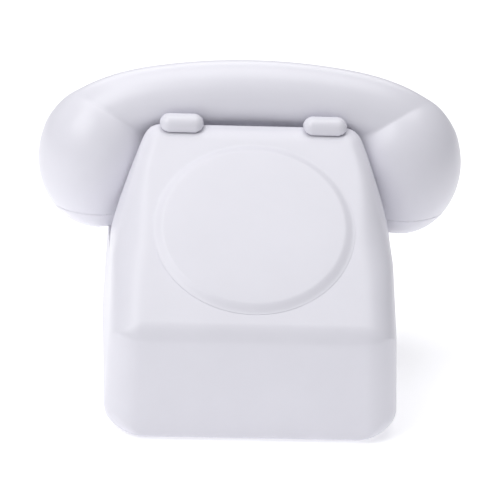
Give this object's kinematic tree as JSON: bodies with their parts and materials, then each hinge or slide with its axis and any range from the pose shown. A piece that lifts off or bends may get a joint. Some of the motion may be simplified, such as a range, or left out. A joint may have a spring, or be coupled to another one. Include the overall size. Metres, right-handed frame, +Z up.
{
  "type": "desk telephone",
  "caption": "Compact one-colour desk telephone: wedge body with a plain round plate, lift-off handset on a plunging cradle, hook switch and bell ringer inside.",
  "frame": {"origin": "centre of the footprint, on the surface that the feet stand on", "axes": "+X along the handset to the right as seen from the front, -Y towards the user, +Z up"},
  "size_m": [0.2112, 0.15, 0.1497],
  "materials": {
    "body_plastic": "satin",
    "handset_plastic": "satin",
    "cradle_plastic": "satin",
    "socket_plastic": "matte",
    "foot_rubber": "matte",
    "base_steel": "satin",
    "bracket_steel": "satin",
    "fastener_steel": "plated",
    "spring_steel": "bright",
    "dark_moulding": "matte",
    "phenolic": "matte",
    "board_laminate": "matte",
    "contact_brass": "satin",
    "coil_winding": "varnished",
    "capacitor_case": "gloss",
    "gong_metal": "polished",
    "receiver_metal": "satin",
    "transmitter_metal": "satin",
    "lead_insulation": "matte"
  },
  "bodies": {
    "base": {"housing": "body_plastic", "base_plate": "base_steel", "rubber_feet": "foot_rubber", "base_screws": "fastener_steel", "dial_plate": "body_plastic", "dial_plate_nuts": "fastener_steel", "cradle_spring": "spring_steel", "switch_bracket": "bracket_steel", "lever_pin": "fastener_steel", "contact_block": "phenolic", "contact_leaves": "contact_brass", "network_board": "board_laminate", "board_standoffs": "contact_brass", "board_screws": "fastener_steel", "induction_coil": "coil_winding", "capacitor": "capacitor_case", "terminal_strip": "dark_moulding", "terminal_screws": "contact_brass", "ringer_frame": "bracket_steel", "ringer_coil": "coil_winding", "gong_posts": "bracket_steel", "gong_left": "gong_metal", "gong_right": "gong_metal", "gong_screws": "fastener_steel", "clapper_pin": "fastener_steel", "wheel_bracket": "bracket_steel", "wheel_pin": "fastener_steel", "line_jack": "socket_plastic", "handset_jack": "socket_plastic"},
    "cradle": {"cradle_rest_left": "cradle_plastic", "cradle_rest_right": "cradle_plastic", "cradle_yoke": "bracket_steel", "yoke_screws": "fastener_steel"},
    "handset": {"handset_shell": "handset_plastic", "receiver_cap": "handset_plastic", "transmitter_cap": "handset_plastic", "receiver_capsule": "receiver_metal", "transmitter_capsule": "transmitter_metal", "handset_leads": "lead_insulation", "handset_socket": "socket_plastic"},
    "hook_switch_lever": {"hook_lever": "dark_moulding"},
    "bell_clapper": {"clapper": "contact_brass"},
    "volume_control": {"volume_wheel": "dark_moulding"}
  },
  "joints": [
    {"name": "cradle_plunge", "type": "slide", "parent": "base", "child": "cradle", "axis": [0, 0, 1], "range_m": [0, 0.0045], "stiffness_N_per_m": 120, "springref_m": 0.012, "deforming": ["cradle_spring"]},
    {"name": "handset_lift", "type": "slide", "parent": "cradle", "child": "handset", "axis": [0, 0, 1], "range_m": [0, 0.12]},
    {"name": "hook_switch", "type": "hinge", "parent": "base", "child": "hook_switch_lever", "pos_m": [0, 0.018, 0.082], "axis": [1, 0, 0], "range_deg": [0, 9.8]},
    {"name": "clapper_swing", "type": "hinge", "parent": "base", "child": "bell_clapper", "pos_m": [0, 0.014, 0.0215], "axis": [0, 0, 1], "range_deg": [-5, 5], "stiffness_Nm_per_rad": 0.001},
    {"name": "volume_turn", "type": "hinge", "parent": "base", "child": "volume_control", "pos_m": [-0.038, 0.005, 0.0106], "axis": [0, 1, 0], "range_deg": [-60, 60]}
  ],
  "couplings": [
    {"joint": "hook_switch", "follows": "cradle_plunge", "rad_per_m": 37.037}
  ]
}
